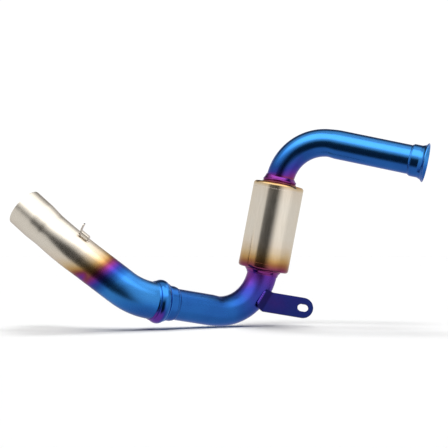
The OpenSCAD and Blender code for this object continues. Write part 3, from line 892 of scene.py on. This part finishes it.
def make_hook():
    """A bent strip with a tongue, a leg that closes its eye, and a weld at each foot."""
    point, way, _, _ = gas_line.at(outlet_bend[0] + HOOK_INTO)
    top = Vector((0, 1, 0)).cross(way).normalized()
    out = top * math.cos(HOOK_TURN) + top.cross(way) * math.sin(HOOK_TURN)
    across = way.cross(out)
    half_w, half_t = 3 * MM, 0.9 * MM
    section = rounded([(-half_w, -half_t), (half_w, -half_t), (half_w, half_t), (-half_w, half_t)],
                      0.45 * MM, 3)

    def at(a, h):
        return point + way * a * MM + out * (TAIL_R + h * MM)

    def strip(name, corners, radii):
        run = Run([at(*c) for c in corners], [r * MM for r in radii], across)
        return rod(name, run, spread(0, run.length, 0.35 * MM), lambda s: section,
                   lambda s: 0.03)

    hook = strip("hook_strip", [(-6.1, -0.5), (-5.6, 4.6), (7.2, 4.9), (8.4, 8.2), (9.3, 15.2)],
                 [1.6, 2.2, 5])
    leg = strip("hook_leg", [(6.0, -0.5), (7.4, 4.6), (8.15, 7.4)], [6])
    joined = hook.modifiers.new("leg", "BOOLEAN")
    joined.object, joined.operation, joined.solver = leg, "UNION", "EXACT"
    seen = hook.evaluated_get(bpy.context.evaluated_depsgraph_get())
    solid = bpy.data.meshes.new_from_object(seen)
    hook.modifiers.clear()
    hook.data = solid
    bpy.data.objects.remove(leg)
    finish_piece(hook, hook_metal, "hook_steel", "tail", "spring_hook")
    puddles = []
    for a in (-6.6, 6.6):
        ends = [at(a, 0.15) - across * 3.6 * MM, at(a, 0.15) + across * 3.6 * MM]
        puddles.append(stitched(Run(ends, side=way), "hook_weld_puddle", 1.9 * MM, 1.0 * MM,
                                lambda s: 0.05, 1.4 * MM))
    for puddle in puddles:
        finish_piece(puddle, weld_metal, "weld_tint", "tail", "hook_weld")


def make_seam():
    """The lengthwise bead of the rolled shell, on the can's back."""
    back = Vector((0, 1, 0))
    back = (back - back.dot(can_way) * can_way).normalized()
    ends = [gas_line.at(CAP_TOP + 9 * MM)[0], gas_line.at(CAP_BOTTOM - 9 * MM)[0]]
    line = Run([end + back * (CAN_R - 0.05 * MM) for end in ends], side=back.cross(can_way))
    seam = stitched(line, "shell_seam_bead", 1.3 * MM, 0.65 * MM, lambda s: 0.16, 2.2 * MM)
    finish_piece(seam, weld_metal, "weld_tint", "root", "shell_seam_weld")


# ---------------------------------------------------------------- CAD nodes that stay

def dress_cad_nodes():
    """Materials for the inner pieces, which keep their CAD shape."""
    for node, material in (("core_tube", core_metal), ("wool_wrap", wool_fibres),
                           ("fibre_packing", glass_fibres), ("joint_seal", graphite)):
        slots = frame["nodes"][node].data.materials
        slots.clear()
        slots.append(material)


# ---------------------------------------------------------------- studio

FLOOR_LIGHT = 3.2                        # what the lamps together give a level floor
LAMP_SLOPES = [(0.0, 0.35), (-0.1, -0.1), (0.05, -0.55)]  # sideways and towards the back, for 1 down
LAMP_ANGLE = math.radians(22)
ROOM_LIGHT, FILL_LIGHT, BACKDROP_LIGHT = 0.88, 0.1, 1.05  # to mirrors, to dull faces, to the camera
FLOOR_SIZE = 9.0
FLOOR_GAP = 0.2 * MM                     # between the floor and the lowest point of the object
CAMERA_AT = (-0.2594, -1.975, -0.0785)
CAMERA_LENS, CAMERA_SENSOR = 123.6, 36   # millimetres


def make_floor():
    """A plain pale floor, which the metal doesn't mirror."""
    bpy.ops.mesh.primitive_plane_add(size=FLOOR_SIZE, location=(0, 0, cad_low.z - FLOOR_GAP))
    floor = bpy.context.object
    floor.name = "floor"
    floor.visible_glossy = False
    material, n = new_material("pale_floor")
    shader = n.add("ShaderNodeBsdfDiffuse", {"Color": (0.9, 0.9, 0.9, 1)})
    n.add("ShaderNodeOutputMaterial", {"Surface": shader.outputs[0]})
    floor.data.materials.append(material)


def make_lights():
    """A row of soft lamps overhead, from front to back, for a low shadow close to the object."""
    for sideways, back in LAMP_SLOPES:
        way = Vector((sideways, back, -1))
        key = bpy.data.lights.new("row_lamp", "SUN")
        key.energy = FLOOR_LIGHT * way.length / len(LAMP_SLOPES)
        key.angle = LAMP_ANGLE
        lamp = bpy.data.objects.new("row_lamp", key)
        lamp.rotation_euler = way.to_track_quat("-Z", "Y").to_euler()
        lamp.visible_glossy = False
        bpy.context.scene.collection.objects.link(lamp)


def make_world():
    """What the metal mirrors: a white room that is dark round the camera and bright above it, with
    a box and a bright wall at the side and a dim ceiling behind. The camera sees plain white."""
    world = bpy.data.worlds.new("studio")
    bpy.context.scene.world = world
    world.use_nodes = True
    n = Nodes(world.node_tree)
    direction = n.add("ShaderNodeTexCoord").outputs["Generated"]
    parts = n.add("ShaderNodeSeparateXYZ", {0: direction})
    x, y, z = parts.outputs
    turn = n.math("ARCTAN2", x, n.math("MULTIPLY", y, -1.0))
    rise = n.math("ARCSINE", z)
    deg = math.radians

    def window(value, low, high, soft_low, soft_high):
        """1 between low and high, in degrees, falling to 0 over the soft widths."""
        enter = n.span(value, deg(low - soft_low), deg(low), smooth=True)
        leave = n.span(value, deg(high), deg(high + soft_high), 1.0, 0.0, smooth=True)
        return n.math("MULTIPLY", enter, leave)

    def patch(turns, rises):
        """A soft-edged part of the room, from its turns and its rises as window() takes them."""
        return n.math("MULTIPLY", window(turn, *turns), window(rise, *rises))

    dark_side = patch((-42, -6, 7, 30), (-34, 4, 20, 20))
    bright_side = patch((32, 54, 18, 24), (-35, 35, 20, 20))
    box_above = patch((-75, 50, 25, 25), (42, 72, 20, 14))
    side_box = patch((62, 125, 20, 20), (50, 75, 8, 12))
    behind = n.span(y, 0.3, 0.6, smooth=True)
    behind = n.math("MULTIPLY", behind, n.span(x, 0.2, 0.4, 1.0, 0.0, smooth=True))
    dim_ceiling = n.math("MULTIPLY", behind, window(rise, 30, 90, 15, 1))
    light = ROOM_LIGHT
    for glow, strength in ((box_above, 1.6), (side_box, 0.9), (bright_side, 0.25)):
        light = n.math("ADD", light, n.math("MULTIPLY", glow, strength))
    for shade, depth in ((dark_side, 0.92), (dim_ceiling, 0.88)):
        light = n.math("MULTIPLY", light, n.math("SUBTRACT", 1.0, n.math("MULTIPLY", shade, depth)))
    path = n.add("ShaderNodeLightPath")
    room = n.add("ShaderNodeBackground", {"Color": (1, 0.985, 0.965, 1), "Strength": light})
    fill = n.add("ShaderNodeBackground", {"Color": (1, 1, 1, 1), "Strength": FILL_LIGHT})
    back = n.add("ShaderNodeBackground", {"Color": (1, 1, 1, 1), "Strength": BACKDROP_LIGHT})
    glossy = n.add("ShaderNodeMixShader", {0: path.outputs["Is Glossy Ray"], 1: fill.outputs[0],
                                           2: room.outputs[0]})
    seen = n.add("ShaderNodeMixShader", {0: path.outputs["Is Camera Ray"], 1: glossy.outputs[0],
                                         2: back.outputs[0]})
    n.add("ShaderNodeOutputWorld", {"Surface": seen.outputs[0]})


def make_camera():
    """Level with the middle of the object and square to its length, as the photograph is."""
    camera = bpy.data.cameras.new("camera")
    camera.sensor_width = CAMERA_SENSOR
    camera.lens = CAMERA_LENS
    obj = bpy.data.objects.new("camera", camera)
    obj.location = CAMERA_AT
    obj.rotation_euler = (math.radians(90), 0, 0)
    bpy.context.scene.collection.objects.link(obj)
    bpy.context.scene.camera = obj


make_camera()
make_inlet()
make_header()
make_upper_neck()
make_can()
make_lower_neck()
make_elbow()
make_joint()
make_socket()
make_tail()
make_bracket()
make_hook()
make_seam()
dress_cad_nodes()
make_floor()
make_lights()
make_world()
bpy.context.scene.view_settings.view_transform = "Standard"
